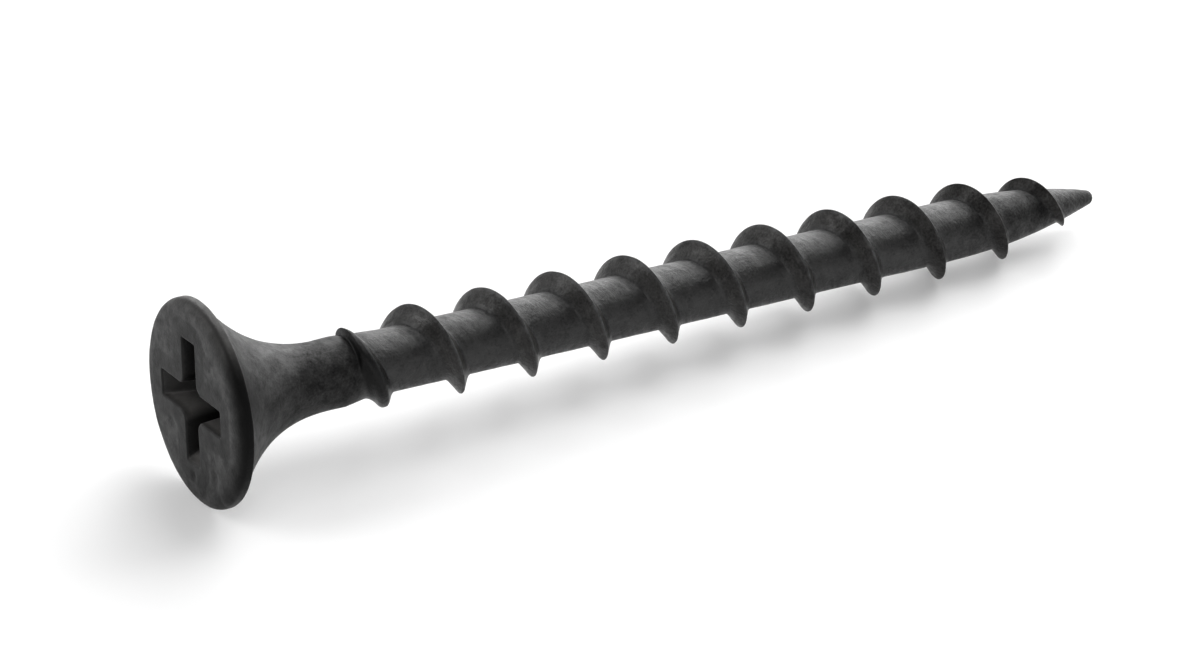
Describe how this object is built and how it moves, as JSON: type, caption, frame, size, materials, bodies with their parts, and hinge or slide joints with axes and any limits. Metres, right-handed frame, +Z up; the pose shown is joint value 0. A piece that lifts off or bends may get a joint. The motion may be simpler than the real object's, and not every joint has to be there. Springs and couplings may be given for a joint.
{
  "type": "drywall screw",
  "caption": "Coarse-thread drywall screw with bugle head, cross recess, smooth neck, right-hand thread and ogive point, in black phosphate, lying on its side.",
  "frame": {"origin": "centre of the flush face of the head, on the screw's axis", "axes": "+X from the head to the point, with the axis dipping 3.85 degrees below +X because the screw lies on its head rim and a thread crest; +Z up; +Y across"},
  "size_m": [0.0414, 0.0082, 0.0081],
  "materials": {
    "black_phosphate": "matte"
  },
  "bodies": {
    "root": {"screw": "black_phosphate"}
  },
  "joints": []
}
